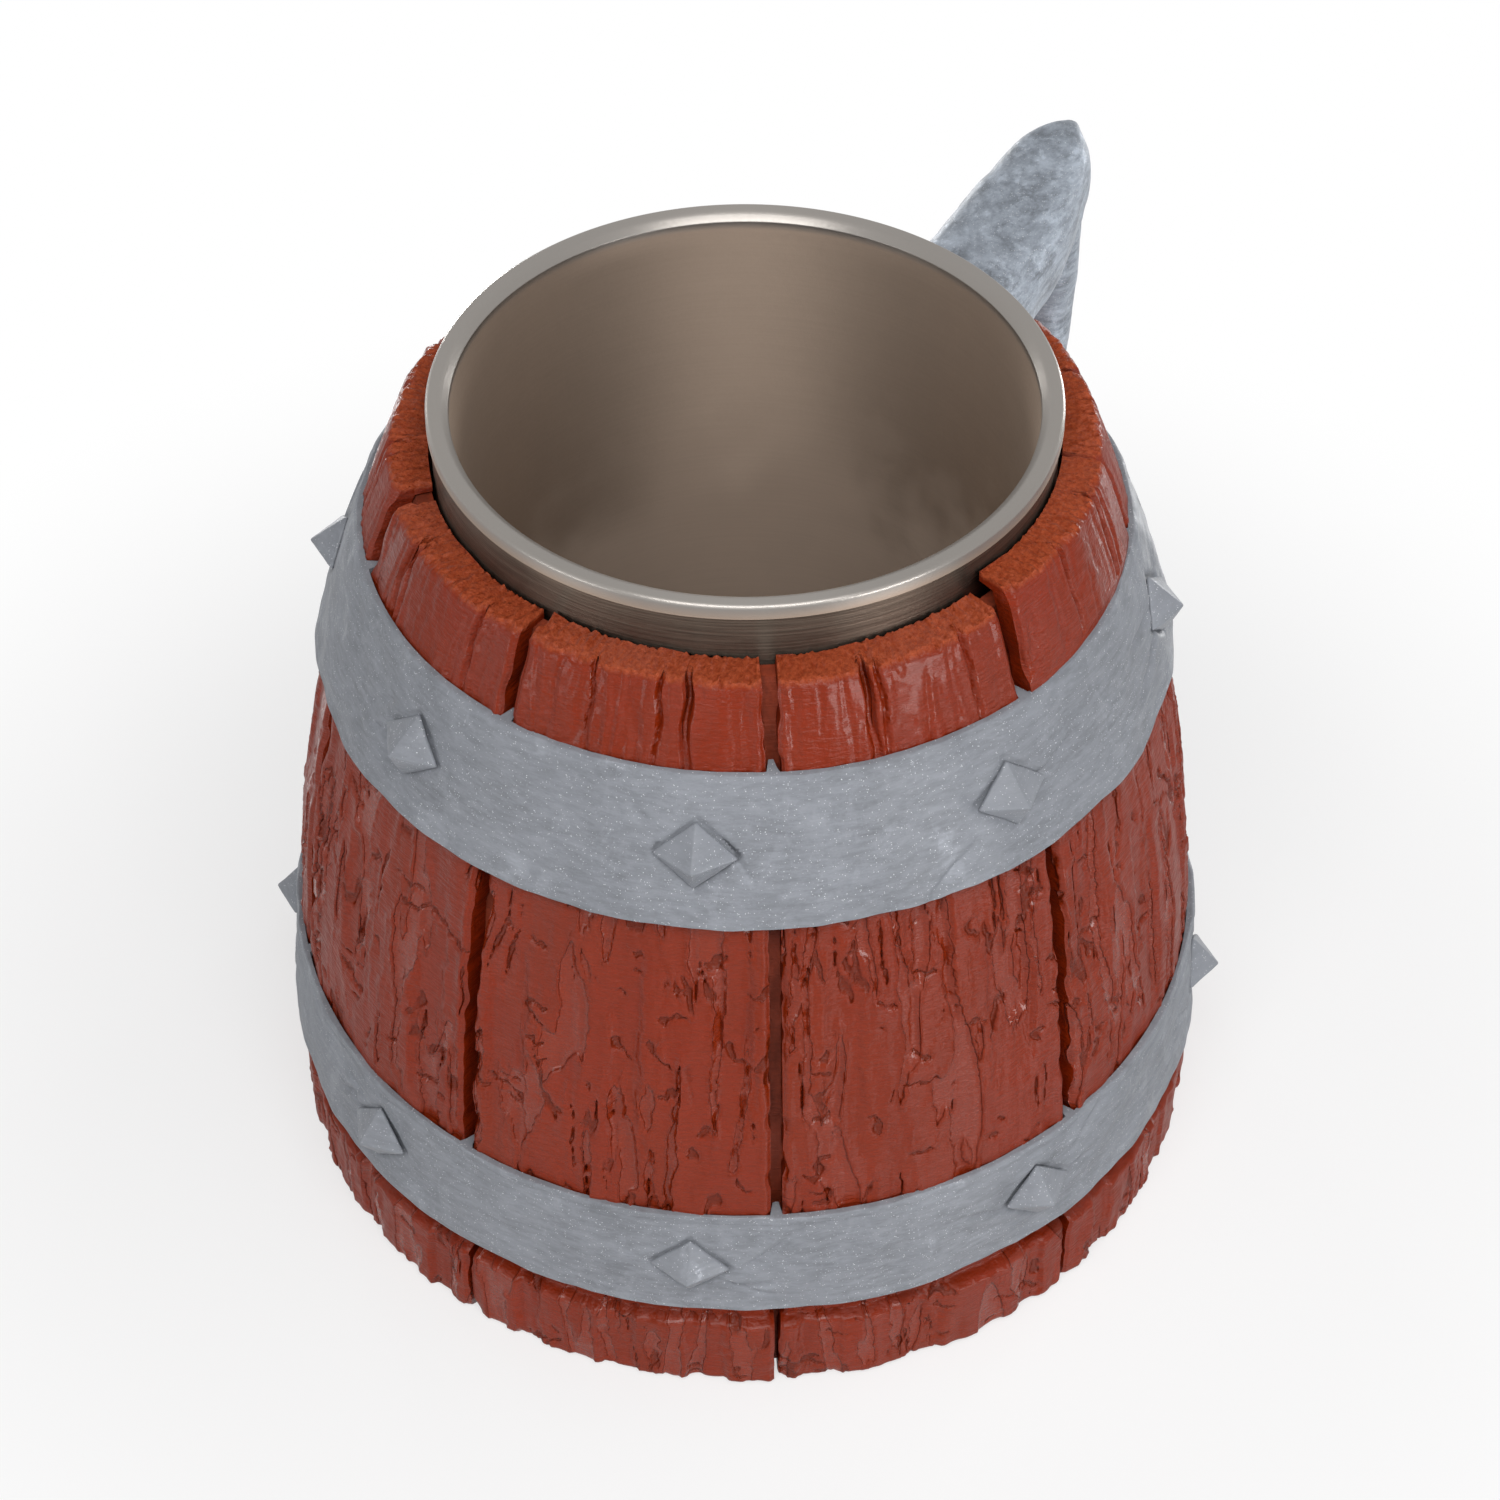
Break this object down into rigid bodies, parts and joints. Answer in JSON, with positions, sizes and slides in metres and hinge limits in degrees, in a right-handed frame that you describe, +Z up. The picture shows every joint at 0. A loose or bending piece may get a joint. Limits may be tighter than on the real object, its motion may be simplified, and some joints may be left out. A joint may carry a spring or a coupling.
{
  "type": "tankard",
  "caption": "Barrel-shaped tankard of hewn brown staves with studded grey hoops, a horned handle and a double-wall steel cup that lifts out.",
  "frame": {"origin": "centre of the underside, on the surface the tankard stands on", "axes": "+Z up along the barrel's axis, +X out through the handle"},
  "size_m": [0.1816, 0.1418, 0.132],
  "materials": {
    "stave_brown": "rust brown, hewn like bark, glossy on the ridges",
    "core_brown": "dark rust brown, dull",
    "hoop_grey": "silver grey with fine sparkle, dented and scratched",
    "stud_grey": "silver grey with fine sparkle",
    "handle_grey": "silver grey, mottled and hammered",
    "cup_steel": "brushed outside, satin inside, polished lip"
  },
  "bodies": {
    "barrel": {"barrel_core": "core_brown", "stave_1": "stave_brown", "stave_2": "stave_brown", "stave_3": "stave_brown", "stave_4": "stave_brown", "stave_5": "stave_brown", "stave_6": "stave_brown", "stave_7": "stave_brown", "stave_8": "stave_brown", "stave_9": "stave_brown", "upper_hoop": "hoop_grey", "lower_hoop": "hoop_grey", "upper_studs": "stud_grey", "lower_studs": "stud_grey", "handle": "handle_grey"},
    "steel_cup": {"cup_inner_wall": "cup_steel", "cup_outer_wall": "cup_steel", "cup_base_cap": "cup_steel"}
  },
  "joints": [
    {"name": "cup_lift", "type": "slide", "parent": "barrel", "child": "steel_cup", "axis": [0, 0, 1], "range_m": [0, 0.12]}
  ]
}
